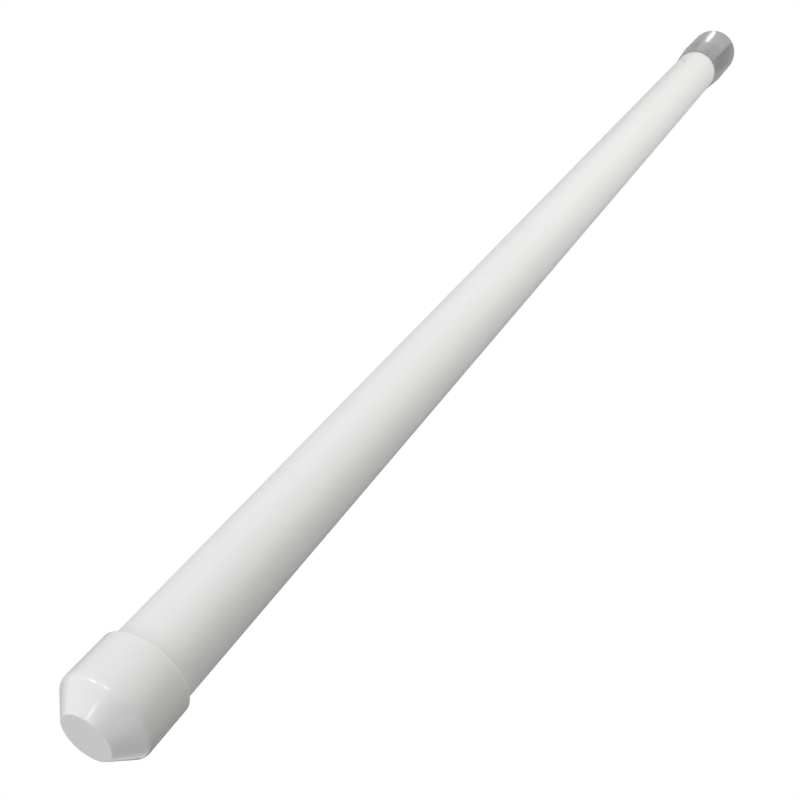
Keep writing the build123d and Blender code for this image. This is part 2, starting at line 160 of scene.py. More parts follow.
def spin(angle, axis):
    """The matrix that turns about an axis through the origin."""
    return Matrix.Rotation(angle, 4, axis)


SIDEWAYS = spin(math.pi / 2, "Y")
FLIPPED = spin(math.pi, "X")


def capped(*points):
    """The outline, closed by a point on the axis at each end."""
    return [(0.0, points[0][1]), *points, (0.0, points[-1][1])]


def ring_outline(inner, outer, low, high, edge):
    """The section of a ring with chamfered edges."""
    return [
        (inner, low + edge), (inner + edge, low), (outer - edge, low), (outer, low + edge),
        (outer, high - edge), (outer - edge, high), (inner + edge, high), (inner, high - edge),
    ]


def rounded(outline, blends, steps=10):
    """The outline with arcs at the corners that blends gives, as an index to a radius."""
    result = []
    for index, corner in enumerate(outline):
        radius = blends.get(index)
        if not radius:
            result.append(corner)
            continue
        here = Vector(corner)
        before = (Vector(outline[index - 1]) - here).normalized()
        after = (Vector(outline[(index + 1) % len(outline)]) - here).normalized()
        half_angle = before.angle(after) / 2
        tangent = radius / math.tan(half_angle)
        centre = here + (before + after).normalized() * (radius / math.sin(half_angle))
        start = here + before * tangent - centre
        end = here + after * tangent - centre
        sweep = start.angle_signed(end)
        for step in range(steps + 1):
            point = centre + Matrix.Rotation(-sweep * step / steps, 2) @ start
            result.append((point.x, point.y))
    return result


def divided(outline, longest):
    """The outline with extra points, so that no run is longer than this."""
    result = []
    for (radius, height), ahead in zip(outline, outline[1:]):
        parts = max(1, math.ceil(math.dist((radius, height), ahead) / longest))
        for part in range(parts):
            share = part / parts
            result.append((radius + (ahead[0] - radius) * share, height + (ahead[1] - height) * share))
    return result + [outline[-1]]


def linked(name, data):
    """A new object in the scene that holds the data."""
    thing = bpy.data.objects.new(name, data)
    bpy.context.scene.collection.objects.link(thing)
    return thing


def smooth(mesh, crease):
    """Smooth shading, except at edges sharper than crease, in degrees."""
    mesh.shade_smooth()
    mesh.set_sharp_from_angle(angle=math.radians(crease))


def mesh_object(name, vertices, faces, crease):
    """A mesh in the scene, with outward normals."""
    mesh = bpy.data.meshes.new(name)
    mesh.from_pydata(vertices, [], faces)
    bm = bmesh.new()
    bm.from_mesh(mesh)
    bmesh.ops.recalc_face_normals(bm, faces=bm.faces)
    bm.to_mesh(mesh)
    bm.free()
    smooth(mesh, crease)
    return linked(name, mesh)


def lathe(name, outline, segments=128, crease=CREASE, shape=None):
    """A mesh turned about Z from (radius, height) points, which form a loop or run from pole to pole.

    shape, if given, takes a radius, a height and an angle, and says what the radius is there.
    """
    vertices = []
    rings = []
    for radius, height in outline:
        if radius < TOUCH:
            rings.append([len(vertices)])
            vertices.append((0.0, 0.0, height))
            continue
        rings.append(list(range(len(vertices), len(vertices) + segments)))
        for segment in range(segments):
            angle = math.tau * segment / segments
            reach = shape(radius, height, angle) if shape else radius
            vertices.append((reach * math.cos(angle), reach * math.sin(angle), height))
    pairs = list(zip(rings, rings[1:]))
    if len(rings[0]) > 1:
        pairs.append((rings[-1], rings[0]))
    faces = []
    for low, high in pairs:
        for segment in range(segments):
            after = (segment + 1) % segments
            if len(low) == 1:
                faces.append((low[0], high[after], high[segment]))
            elif len(high) == 1:
                faces.append((low[segment], low[after], high[0]))
            else:
                faces.append((low[segment], low[after], high[after], high[segment]))
    return mesh_object(name, vertices, faces, crease)


def stacked(name, loops, crease=CREASE):
    """A closed mesh through loops of equally many points."""
    count = len(loops[0])
    vertices = [point for loop in loops for point in loop]
    faces = [tuple(range(count)), tuple(range(len(vertices) - count, len(vertices)))]
    for low in range(0, len(vertices) - count, count):
        high = low + count
        for index in range(count):
            after = (index + 1) % count
            faces.append((low + index, low + after, high + after, high + index))
    return mesh_object(name, vertices, faces, crease)


def square_loop(side, corner, height, steps=6):
    """The points of a level square with rounded corners, centred on the axis."""
    inset = side / 2 - corner
    points = []
    for quarter in range(4):
        middle = math.pi / 2 * quarter + math.pi / 4
        centre_x = math.copysign(inset, math.cos(middle))
        centre_y = math.copysign(inset, math.sin(middle))
        for step in range(steps + 1):
            angle = math.pi / 2 * (quarter + step / steps)
            points.append((centre_x + corner * math.cos(angle), centre_y + corner * math.sin(angle), height))
    return points


def slab(name, side, corner, low, high, edge):
    """A square plate with rounded corners and chamfered edges."""
    loops = []
    for inset, height in ((edge, low), (0.0, low + edge), (0.0, high - edge), (edge, high)):
        loops.append(square_loop(side - 2 * inset, corner - inset, height))
    return stacked(name, loops)


def swept(name, path, radius, segments=14):
    """A round wire along a path of points."""
    loops = []
    normal = None
    for index, point in enumerate(path):
        direction = (path[min(index + 1, len(path) - 1)] - path[max(index - 1, 0)]).normalized()
        if normal is None:
            normal = direction.orthogonal().normalized()
        normal = (normal - direction * normal.dot(direction)).normalized()
        across = direction.cross(normal)
        loop = []
        for segment in range(segments):
            angle = math.tau * segment / segments
            loop.append(point + (normal * math.cos(angle) + across * math.sin(angle)) * radius)
        loops.append(loop)
    return stacked(name, loops, SOFT_CREASE)


def softened(path, rounds):
    """The path with its corners cut off, this many times."""
    for _ in range(rounds):
        cut_path = [path[0]]
        for here, ahead in zip(path, path[1:]):
            cut_path += [here.lerp(ahead, 0.25), here.lerp(ahead, 0.75)]
        path = cut_path + [path[-1]]
    return path


def threaded(crest, depth, pitch, low, high):
    """A lathe shape: a thread cut into the surface of this radius, between two heights."""

    def shape(radius, height, angle):
        if abs(radius - crest) > TOUCH or not low < height < high:
            return radius
        fade = min(1.0, (height - low) / pitch, (high - height) / pitch)
        flank = abs(2 * ((height / pitch - angle / math.tau) % 1.0) - 1)
        groove = min(1.0, max(0.0, (GROOVE_START - flank) / GROOVE_FLANK))
        return radius - depth * fade * groove

    return shape


def sunk(surface, depth, pattern):
    """A lathe shape: the surface of this radius, sunk by a pattern of -1 to 1."""

    def shape(radius, height, angle):
        if abs(radius - surface) > TOUCH:
            return radius
        return radius - depth * (0.5 + 0.5 * pattern(radius, height, angle))

    return shape


def woven(surface, depth, strands, pitch):
    """A lathe shape: the over-and-under relief of a braid."""

    def weave(_, height, angle):
        turn = math.tau * height / pitch
        return math.sin(strands * (angle - turn)) * math.sin(strands * (angle + turn))

    return sunk(surface, depth, weave)


def uneven(surface, depth, size):
    """A lathe shape: the slightly uneven surface of cut foam or shrunk sleeving."""

    def lumps(radius, height, angle):
        return noise.noise(Vector((radius * math.cos(angle), radius * math.sin(angle), height)) / size)

    return sunk(surface, depth, lumps)


def crimped(flats, low, high):
    """A lathe shape: six pressed flats, this far from the axis, between two heights."""

    def shape(radius, height, angle):
        if radius < flats or not low < height < high:
            return radius
        return min(radius, flats / math.cos(angle % (math.pi / 3) - math.pi / 6))

    return shape


def joined(name, parts, crease=CREASE):
    """The parts as one mesh object."""
    bm = bmesh.new()
    for part in parts:
        bm.from_mesh(part.data)
        bpy.data.objects.remove(part)
    mesh = bpy.data.meshes.new(name)
    bm.to_mesh(mesh)
    bm.free()
    smooth(mesh, crease)
    return linked(name, mesh)


def boolean(piece, tool, crease=CREASE, operation="DIFFERENCE"):
    """Cuts the tool out of the piece, or fuses it on, and removes the tool."""
    modifier = piece.modifiers.new("boolean", "BOOLEAN")
    modifier.operation = operation
    modifier.solver = "EXACT"
    modifier.object = tool
    bpy.context.view_layer.update()
    graph = bpy.context.evaluated_depsgraph_get()
    mesh = bpy.data.meshes.new_from_object(piece.evaluated_get(graph))
    piece.modifiers.remove(modifier)
    piece.data = mesh
    smooth(mesh, crease)
    bpy.data.objects.remove(tool)
    return piece


def placed(piece, matrix):
    """The piece, its mesh moved by the matrix."""
    piece.data.transform(matrix)
    return piece


def drilled(piece, holes, low, high, chamfer=0.0, across=False, segments=40):
    """Drills (x, y, radius) holes along Z, or (x, z, radius) holes along Y, with a chamfer at the low end."""
    cutters = []
    for first, second, radius in holes:
        mouth = radius + chamfer + OVER if chamfer else radius
        outline = capped((mouth, low - OVER), (radius, low + chamfer), (radius, high + OVER))
        cutter = lathe("drill", outline, segments)
        matrix = shift(first, 0, second) @ spin(-math.pi / 2, "X") if across else shift(first, second, 0)
        cutters.append(placed(cutter, matrix))
    return boolean(piece, joined("drills", cutters))


def cross_recess(reach, width, depth):
    """A cutter for a cross recess, narrower at its bottom."""
    over = 1 * MM
    loops = []
    for scale, height in ((0.4, -depth), (1.0, 0.0), (1.0, over)):
        arm = reach * scale
        half = width / 2 * (0.5 + 0.5 * scale)
        quarter = [Vector((half, half, height)), Vector((half, arm, height)), Vector((-half, arm, height))]
        loop = []
        for turn in range(4):
            loop += [Matrix.Rotation(math.pi / 2 * turn, 3, "Z") @ point for point in quarter]
        loops.append(loop)
    return stacked("recess", loops)


def finished(piece, slot, node):
    """Gives the piece the material of its slot, rides it on the one body and hides the node that it stands
    for.
    """
    piece.data.materials.clear()
    piece.data.materials.append(materials[slot])
    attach(piece, "root")
    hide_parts(node)


# ---- material tools


class Maker:
    """A new material, with short calls for the procedural nodes that feed it."""

    def __init__(self, name, colour, roughness, metallic=0.0):
        self.material = bpy.data.materials.new(name)
        self.material.use_nodes = True
        self.tree = self.material.node_tree
        self.shader = self.tree.nodes["Principled BSDF"]
        self.colour = colour
        self.roughness = roughness
        self.put({"Metallic": metallic})
        self.place = self.add("ShaderNodeTexCoord", {}, "Object")

    def put(self, values, node=None):
        """Sets inputs of the node, or of the shader, to values or other nodes' outputs."""
        for key, value in values.items():
            socket = (node or self.shader).inputs[key]
            if isinstance(value, bpy.types.NodeSocket):
                self.tree.links.new(value, socket)
            else:
                socket.default_value = value

    def add(self, kind, values, output, **settings):
        """The named output of a new node, with its inputs' values and its settings."""
        node = self.tree.nodes.new(kind)
        for key, value in settings.items():
            setattr(node, key, value)
        self.put(values, node)
        return node.outputs[output]

    def noise(self, scale, detail=3.0, rough=0.5, stretch=1.0):
        """Noise with this many features in a metre, squeezed along the axis by stretch."""
        place = self.add("ShaderNodeMapping", {"Scale": (1.0, 1.0, stretch), "Vector": self.place}, "Vector")
        values = {"Scale": scale, "Detail": detail, "Roughness": rough, "Vector": place}
        return self.add("ShaderNodeTexNoise", values, "Fac")

    def cells(self, scale):
        """Round cells, this many in a metre."""
        return self.add("ShaderNodeTexVoronoi", {"Scale": scale, "Vector": self.place}, "Distance")

    def turned(self, lines_per_metre, detail=4.0):
        """Noise that varies along the axis and outwards, as a lathe tool's marks do."""
        flat = self.add("ShaderNodeMapping", {"Scale": (1.0, 1.0, 0.0), "Vector": self.place}, "Vector")
        reach = self.add("ShaderNodeVectorMath", {0: flat}, "Value", operation="LENGTH")
        height = self.add("ShaderNodeSeparateXYZ", {"Vector": self.place}, "Z")
        total = self.add("ShaderNodeMath", {0: height, 1: reach}, "Value", operation="ADD")
        values = {"Scale": lines_per_metre, "Detail": detail, "W": total}
        return self.add("ShaderNodeTexNoise", values, "Fac", noise_dimensions="1D")

    def ranged(self, value, low, high, out_low, out_high):
        """The value spread from low..high to out_low..out_high."""
        values = {"Value": value, "From Min": low, "From Max": high, "To Min": out_low, "To Max": out_high}
        return self.add("ShaderNodeMapRange", values, "Result")

    def tint(self, value, spread, low=0.3, high=0.7):
        """Colours the surface a little darker and lighter than its base, by the value."""
        dark = [channel * (1.0 - spread) for channel in self.colour]
        light = [min(1.0, channel * (1.0 + spread)) for channel in self.colour]
        share = self.ranged(value, low, high, 0.0, 1.0)
        values = {"A": (*dark, 1.0), "B": (*light, 1.0), "Factor": share}
        self.put({"Base Color": self.add("ShaderNodeMix", values, "Result", data_type="RGBA")})

    def gloss(self, value, spread, low=0.3, high=0.7):
        """Varies the roughness about its base, by the value."""
        base = self.roughness
        self.put({"Roughness": self.ranged(value, low, high, base - spread, base + spread)})

    def relief(self, *layers):
        """The material with bump from (value, height in metres) layers, one on another."""
        normal = {}
        for value, height in layers:
            values = {"Strength": 1.0, "Distance": height, "Height": value, **normal}
            normal = {"Normal": self.add("ShaderNodeBump", values, "Normal")}
        self.put(normal)
        return self.material


def gelcoat():
    """White gel coat: faint lengthwise streaks, and a soft orange peel."""
    m = Maker("gelcoat_white", (0.78, 0.785, 0.775), 0.62)
    m.tint(m.noise(60.0, 4.0, 0.55, 0.06), 0.015)
    m.gloss(m.noise(35.0, 5.0, 0.6, 0.25), 0.05)
    return m.relief((m.noise(420.0, 3.0, 0.6, 0.08), 1e-5))


def cap_plastic():
    """Moulded white plastic: glossy, a little see-through, with slow sink marks."""
    m = Maker("cap_plastic_white", (0.79, 0.79, 0.785), 0.13)
    m.put({"Subsurface Weight": 0.2, "Subsurface Radius": (1.0, 1.0, 0.9), "Subsurface Scale": 0.003})
    m.tint(m.noise(45.0), 0.012)
    m.gloss(m.noise(70.0, 5.0, 0.6), 0.04)
    return m.relief((m.noise(110.0, 2.0, 0.4), 3e-5))


def turned_aluminium():
    """Lathe-turned aluminium: fine tool lines round it, and small dull patches."""
    m = Maker("turned_aluminium", (0.43, 0.44, 0.435), 0.24, 1.0)
    m.put({"Anisotropic": 0.2})
    m.tint(m.noise(55.0, 5.0, 0.6), 0.06)
    m.gloss(m.noise(90.0, 6.0, 0.65), 0.05)
    return m.relief((m.turned(900.0, 2.0), 4e-6))


def metal(name, colour, roughness, lines, depth):
    """A metal with fine turning or drawing marks and an uneven polish."""
    m = Maker(name, colour, roughness, 1.0)
    m.tint(m.noise(180.0, 5.0, 0.6), 0.08)
    m.gloss(m.noise(320.0, 5.0, 0.6), 0.07)
    return m.relief((m.turned(lines), depth), (m.noise(900.0), depth))


def plastic(name, colour, roughness, grain, depth):
    """A moulded or machined plastic with a fine grain."""
    m = Maker(name, colour, roughness)
    m.tint(m.noise(120.0, 4.0, 0.55), 0.05)
    m.gloss(m.noise(260.0, 4.0, 0.6), 0.06)
    return m.relief((m.noise(grain), depth))


def foam():
    """Cut foam: small open cells all over the cut faces, with painted shade in each cell's hollow."""
    m = Maker("polyethylene_foam", (0.74, 0.74, 0.73), 0.9)
    cells = m.cells(700.0)
    # The colour is darker towards each cell's middle, where the relief sinks: painted shade in the hollows.
    m.tint(cells, 0.12, 0.0, 0.6)
    m.gloss(m.noise(200.0), 0.05)
    return m.relief((cells, 0.0004), (m.noise(90.0), 0.0003))


def glass_rod():
    """Glass fibre and resin: long fibres that show."""
    m = Maker("glass_rod_green", (0.55, 0.60, 0.34), 0.4)
    fibres = m.noise(1400.0, 3.0, 0.6, 0.02)
    m.tint(fibres, 0.14)
    m.gloss(fibres, 0.08)
    return m.relief((fibres, 3e-5))


def epoxy():
    """Cured adhesive, slightly see-through, with a few bubbles."""
    m = Maker("epoxy_cream", (0.72, 0.70, 0.64), 0.4)
    m.put({"Transmission Weight": 0.1})
    m.tint(m.noise(300.0, 4.0, 0.6), 0.08)
    m.gloss(m.noise(500.0), 0.06)
    return m.relief((m.cells(900.0), 8e-5))


# One material for each material slot of the record.
materials = {
    "radome_gelcoat": gelcoat(),
    "cap_plastic": cap_plastic(),
    "sleeve_aluminium": turned_aluminium(),
    "plug_aluminium": metal("machined_aluminium", (0.72, 0.73, 0.73), 0.34, 1400.0, 2e-5),
    "epoxy_bond": epoxy(),
    "seal_rubber": plastic("rubber_black", (0.018, 0.018, 0.019), 0.62, 700.0, 3e-5),
    "socket_nickel": metal("bright_nickel", (0.66, 0.63, 0.58), 0.18, 2600.0, 4e-6),
    "ptfe": plastic("ptfe_white", (0.80, 0.80, 0.78), 0.46, 2200.0, 8e-6),
    "contact_gold": metal("gold_plate", (0.93, 0.66, 0.25), 0.20, 3000.0, 4e-6),
    "stainless": metal("stainless_steel", (0.68, 0.67, 0.65), 0.36, 3200.0, 4e-6),
    "copper": metal("copper_wire", (0.86, 0.45, 0.29), 0.24, 1500.0, 6e-6),
    "tinned_braid": metal("tinned_copper", (0.70, 0.69, 0.66), 0.36, 900.0, 1e-5),
    "cable_jacket_brown": plastic("fep_brown", (0.20, 0.085, 0.035), 0.28, 500.0, 1e-5),
    "shrink_black": plastic("shrink_sleeve_black", (0.02, 0.02, 0.021), 0.42, 350.0, 6e-5),
    "brass_tube": metal("drawn_brass", (0.83, 0.62, 0.27), 0.26, 700.0, 1e-5),
    "former_grp": glass_rod(),
    "solder": metal("solder_tin", (0.74, 0.74, 0.72), 0.30, 400.0, 3e-5),
    "acetal": plastic("acetal_white", (0.76, 0.76, 0.72), 0.38, 1500.0, 8e-6),
    "foam": foam(),
}


# ---- radome, cap and sleeve


def make_radome():
    """The fibreglass tube, with its two countersunk screw holes."""
    radius, bottom, top = span_of("radome_tube")
    inner = radius - RADOME_WALL
    edge = 0.3 * MM
    outline = [
        (inner, bottom), (radius - edge, bottom), (radius, bottom + edge),
        (radius, top - edge), (radius - edge, top), (inner, top),
    ]
    row_height = 15 * MM
    tube = lathe("radome", divided(outline, row_height), 192)
    low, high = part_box("radome_screws")
    hole_r = SCREW_R + SLIDE
    head_r = SCREW_HEAD_R + SLIDE
    neck = high.x - (head_r - hole_r)
    hole = capped((hole_r, inner - OVER), (hole_r, neck), (head_r, high.x), (head_r, radius + OVER))
    cutters = []
    for turn in (0.0, math.pi):
        sideways = spin(turn, "Z") @ SIDEWAYS
        cutters.append(placed(lathe("hole", hole, 48), shift(0, 0, (low.z + high.z) / 2) @ sideways))
    boolean(tube, joined("holes", cutters))
    finished(tube, "radome_gelcoat", "radome_tube")


def make_cap():
    """The moulded cap: skirt, wide bevel and flat end, with a stop for the tube inside."""
    radius, rim, top = span_of("top_cap")
    tube_r = radius_of("radome_tube")
    bore = tube_r + GLUE_GAP
    shoulder = rim + CAP_SKIRT
    stop = rim + CAP_SOCKET
    roof = 0.4 * MM
    outline = capped(
        (CAP_FACE_R, top), (radius, shoulder), (radius, rim), (bore, rim), (bore, stop),
        (tube_r - RADOME_WALL, stop), (tube_r - RADOME_WALL, shoulder + roof),
        (CAP_FACE_R - 2 * MM, top - CAP_WALL),
    )
    blends = {1: CAP_FACE_BLEND, 2: CAP_EDGE_BLEND, 3: CAP_RIM_BLEND, 4: 0.3 * MM}
    row_height = 4 * MM
    cap = lathe("cap", divided(rounded(outline, blends), row_height), 224, ROUND_CREASE)
    finished(cap, "cap_plastic", "top_cap")


def make_sleeve():
    """The turned sleeve: tapered mouth, barrel, rounded lower edge and drilled floor."""
    radius, bottom, mouth = span_of("base_sleeve")
    bore = radius_of("radome_tube") + GLUE_GAP
    floor_top = bottom + FLOOR_THICKNESS
    boss_r = radius_of("cable_ferrule") + 0.2 * MM
    outline = [
        (boss_r, bottom), (radius, bottom), (radius, mouth - MOUTH_TAPER), (bore + MOUTH_LIP, mouth),
        (bore, mouth), (bore, floor_top), (boss_r, floor_top),
    ]
    blends = {0: 0.3 * MM, 1: END_ROUND, 2: MOUTH_BLEND, 3: 0.2 * MM, 4: 0.12 * MM}
    row_height = 3 * MM
    sleeve = lathe("sleeve", divided(rounded(outline, blends), row_height), 192)
    drilled(sleeve, flange_holes() + DRAINS, bottom, floor_top, chamfer=0.35 * MM)
    finished(sleeve, "sleeve_aluminium", "base_sleeve")


def make_ring(name, slot, node, inner, edge=0.1 * MM, segments=72, shape=None, rows=0.0):
    """A node that is a plain ring or tube, perhaps with a worked surface."""
    radius, low, high = span_of(node)
    outline = ring_outline(inner, radius, low, high, edge)
    if rows:
        outline = divided(outline, rows)
    finished(lathe(name, outline, segments, SOFT_CREASE if shape else CREASE, shape), slot, node)


def make_bonds():
    """The two glue lines round the tube."""
    inner = radius_of("radome_tube") + GAP
    for node in ("cap_bond", "sleeve_bond"):
        make_ring(f"{node}_line", "epoxy_bond", node, inner, 0.06 * MM)


# ---- screws, socket and base plug


def flange_holes(radius=SCREW_HOLE_R):
    """The four screw places, as (x, y, radius)."""
    half = BOLT_SPACING / 2
    return [(x, y, radius) for x in (-half, half) for y in (-half, half)]


def make_screw(head_height, length, countersunk):
    """An M3 screw that points down, its head's top at the origin."""
    thread_start = -head_height - M3_PITCH / 2
    tip = -head_height - length
    core = SCREW_R - M3_PITCH * 0.6
    land = 0.1 * MM
    if countersunk:
        head = [(SCREW_HEAD_R - land, 0.0), (SCREW_HEAD_R, -land), (SCREW_R, -head_height)]
        blends = {}
    else:
        head = [(SCREW_HEAD_R, 0.0), (SCREW_HEAD_R, -head_height), (SCREW_R, -head_height)]
        blends = {1: SCREW_HEAD_R * 0.42, 2: land}
    outline = capped(*head, (SCREW_R, thread_start), (SCREW_R, tip + M3_PITCH), (core, tip))
    rows = divided(rounded(outline, blends, 6), M3_PITCH / 7)
    helix = threaded(SCREW_R, SCREW_R - core, M3_PITCH, tip + M3_PITCH, thread_start)
    screw = lathe("screw", rows, 40, ROUND_CREASE, helix)
    recess = cross_recess(SCREW_HEAD_R * 0.62, DRIVE_WIDTH, head_height * 0.6)
    return boolean(screw, recess, ROUND_CREASE)


def make_radome_screws():
    """The two flush screws that hold the support bush."""
    low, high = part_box("radome_screws")
    middle = shift(0, 0, (low.z + high.z) / 2)
    head_height = SCREW_HEAD_R - SCREW_R
    screws = []
    for turn, drive in ((0.0, 0.4), (math.pi, 1.0)):
        screw = make_screw(head_height, RADOME_SCREW_LENGTH - head_height, countersunk=True)
        matrix = middle @ spin(turn, "Z") @ shift(high.x, 0, 0) @ SIDEWAYS @ spin(drive, "Z")
        screws.append(placed(screw, matrix))
    finished(joined("radome_fixings", screws, ROUND_CREASE), "stainless", "radome_screws")


def make_flange_screws():
    """The four screws up through the flange into the base plug, and their washers."""
    bottom, top = heights_of("flange_screws")
    washer_low, washer_high = heights_of("flange_washers")
    head_height = washer_low - bottom
    washer_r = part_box("flange_washers")[1].x - BOLT_SPACING / 2
    edge = 0.06 * MM
    washer = [
        (WASHER_HOLE_R, washer_low + edge), (WASHER_HOLE_R + edge, washer_low),
        (washer_r - 3 * edge, washer_low), (washer_r, washer_low + 2 * edge),
        (washer_r, washer_high), (WASHER_HOLE_R, washer_high),
    ]
    first_drive = 0.35
    next_drive = 1.3
    screws = []
    washers = []
    for index, (x, y, _) in enumerate(flange_holes()):
        screw = make_screw(head_height, top - washer_low, countersunk=False)
        drive = spin(first_drive + next_drive * index, "Z")
        screws.append(placed(screw, shift(x, y, bottom) @ FLIPPED @ drive))
        washers.append(placed(lathe("washer", washer, 48), shift(x, y, 0)))
    finished(joined("socket_screws", screws, ROUND_CREASE), "stainless", "flange_screws")
    finished(joined("socket_washers", washers), "stainless", "flange_washers")


def make_socket():
    """The N-type socket: threaded barrel, square flange, and the boss above it."""
    radius, tip, boss_top = span_of("socket_body")
    thread_r = THREAD_CREST_R
    thread_top = tip + THREAD_LENGTH
    undercut_top = thread_top + UNDERCUT_LENGTH
    flange_low = heights_of("flange_washers")[1]
    flange_high = flange_low + FLANGE_THICKNESS
    middle = (flange_low + flange_high) / 2
    boss_r = radius_of("cable_ferrule")
    lead_in = 0.7 * MM
    mouth = 0.8 * MM
    edge = 0.3 * MM
    rows = round((THREAD_LENGTH - lead_in) / (THREAD_PITCH / 14))
    start = tip + lead_in
    thread = [(thread_r, start + (thread_top - tip - lead_in) * row / rows) for row in range(rows + 1)]
    outline = [
        (SOCKET_BORE_R, tip + mouth), (SOCKET_BORE_R + mouth, tip), (thread_r - lead_in, tip),
        *thread,
        (UNDERCUT_R, thread_top), (UNDERCUT_R, undercut_top), (thread_r, undercut_top), (thread_r, middle),
        (boss_r, middle), (boss_r, boss_top - edge), (boss_r - edge, boss_top), (SOCKET_BORE_R, boss_top),
    ]
    crease = 40.0
    helix = threaded(thread_r, THREAD_DEPTH, THREAD_PITCH, start, thread_top)
    barrel = lathe("socket_shell", outline, 96, crease, helix)
    flange = slab("flange", 2 * radius, FLANGE_CORNER, flange_low, flange_high, 0.25 * MM)
    middle_hole = (0.0, 0.0, SOCKET_BORE_R + 1 * MM)
    drilled(flange, flange_holes() + [middle_hole], flange_low, flange_high)
    finished(boolean(barrel, flange, crease, "UNION"), "socket_nickel", "socket_body")


def make_contact():
    """The centre contact: a slotted hollow pin, with a solder cup at its upper end."""
    radius, bottom, top = span_of("socket_contact")
    edge = 0.3 * MM
    bore = 0.83 * MM
    mouth = 1 * MM
    cup_r = radius_of("cable_conductor") + SLIDE
    cup_floor = top - 4 * MM
    outline = [
        (0.0, bottom + 6 * MM), (bore, bottom + 5.7 * MM), (bore, bottom + 0.2 * MM), (mouth, bottom),
        (radius - edge, bottom), (radius, bottom + edge), (radius, top - edge), (radius - edge, top),
        (cup_r, top), (cup_r, cup_floor), (0.0, cup_floor),
    ]
    contact = lathe("socket_pin", outline, 64)
    slots = cross_recess(radius + 1 * MM, 0.3 * MM, 5.5 * MM)
    boolean(contact, placed(slots, shift(0, 0, bottom) @ FLIPPED))
    finished(contact, "contact_gold", "socket_contact")


def make_gasket():
    """The rubber gasket between the flange and the sleeve's floor."""
    radius, low, high = span_of("socket_gasket")
    gasket = slab("gasket", 2 * radius, FLANGE_CORNER, low, high, 0.2 * MM)
    drilled(gasket, flange_holes() + [(0.0, 0.0, GASKET_BORE_R)], low, high)
    finished(gasket, "seal_rubber", "socket_gasket")


def make_base_plug():
    """The plug inside the radome's lower end, and its O-ring."""
    radius, bottom, top = span_of("base_plug")
    ring_r, ring_low, ring_high = span_of("plug_o_ring")
    cord = ring_high - ring_low
    edge = 1 * MM
    groove_r = ring_r - cord - GAP
    groove_low = ring_low - SLIDE
    groove_high = ring_high + SLIDE
    outline = [
        (PLUG_BORE_R, bottom), (radius - edge / 2, bottom), (radius, bottom + edge / 2),
        (radius, groove_low), (groove_r, groove_low), (groove_r, groove_high), (radius, groove_high),
        (radius, top - edge), (radius - edge, top), (PLUG_BORE_R, top),
    ]
    plug = lathe("end_plug", outline, 160)
    drilled(plug, flange_holes(SCREW_R + SLIDE) + DRAINS, bottom, top)
    finished(plug, "plug_aluminium", "base_plug")
    middle = (ring_low + ring_high) / 2
    steps = 20
    cord_r = cord / 2
    section = []
    for step in range(steps):
        angle = math.tau * step / steps
        section.append((ring_r - cord_r + cord_r * math.cos(angle), middle + cord_r * math.sin(angle)))
    finished(lathe("o_ring", section, 160), "seal_rubber", "plug_o_ring")


# ---- feed cable


def make_cable():
    """The feed cable, layer by layer."""
    conductor_r, low, high = span_of("cable_conductor")
    end = conductor_r * 0.6
    inner = conductor_r - end
    wire = capped((inner, low), (conductor_r, low + end), (conductor_r, high - end), (inner, high))
    finished(lathe("inner_wire", divided(wire, 20 * MM), 32), "copper", "cable_conductor")
    dielectric_r = radius_of("cable_dielectric")
    braid_r = radius_of("cable_braid")
    jacket_r = radius_of("cable_jacket")
    make_ring("wire_insulation", "ptfe", "cable_dielectric", conductor_r + GAP, SLIDE, 48)
    braid = woven(braid_r, 0.16 * MM, 12, 24 * MM)
    make_ring("wire_braid", "tinned_braid", "cable_braid", dielectric_r + GAP, SLIDE, 96, braid, 0.8 * MM)
    wavy = uneven(jacket_r, 0.05 * MM, 9 * MM)
    make_ring("wire_jacket", "cable_jacket_brown", "cable_jacket", braid_r + GAP, SLIDE, 48, wavy, 3 * MM)


def make_crimp():
    """The ferrule on the braid, and the shrunk sleeve over it."""
    radius, low, high = span_of("cable_ferrule")
    neck = radius_of("cable_jacket") + 1 * MM
    bore = radius_of("cable_braid") + SLIDE
    step = low + 6 * MM
    slope = 2 * MM
    wall = 1.2 * MM
    outline = [
        (radius, low), (radius, step), (neck, step + slope), (neck, high), (bore, high),
        (bore, step), (radius - wall, step - slope), (radius - wall, low),
    ]
    hexagon = crimped(neck * 0.93, step + 5 * MM, high - 2 * MM)
    blends = {0: 0.2 * MM, 1: 0.6 * MM, 2: 0.6 * MM, 3: 0.2 * MM}
    ferrule = lathe("crimp_ferrule", divided(rounded(outline, blends, 5), 1 * MM), 72, shape=hexagon)
    finished(ferrule, "socket_nickel", "cable_ferrule")
    outer, shrink_low, shrink_high = span_of("heat_shrink")
    wall = 0.6 * MM
    narrow = outer - 1 * MM
    outline = [
        (outer - wall, shrink_low), (outer, shrink_low), (outer, high + 0.2 * MM), (narrow, high + 2.5 * MM),
        (narrow, shrink_high), (narrow - wall, shrink_high), (narrow - wall, high + 2.2 * MM),
        (outer - wall, high + 0.1 * MM),
    ]
    blends = {1: 0.25 * MM, 2: 1 * MM, 3: 1 * MM, 4: 0.25 * MM}
    crinkled = divided(rounded(outline, blends, 5), 0.8 * MM)
    sleeve = lathe("shrink_sleeve", crinkled, 72, SOFT_CREASE, uneven(narrow, 0.08 * MM, 2 * MM))
    finished(sleeve, "shrink_black", "heat_shrink")


# ---- radiators


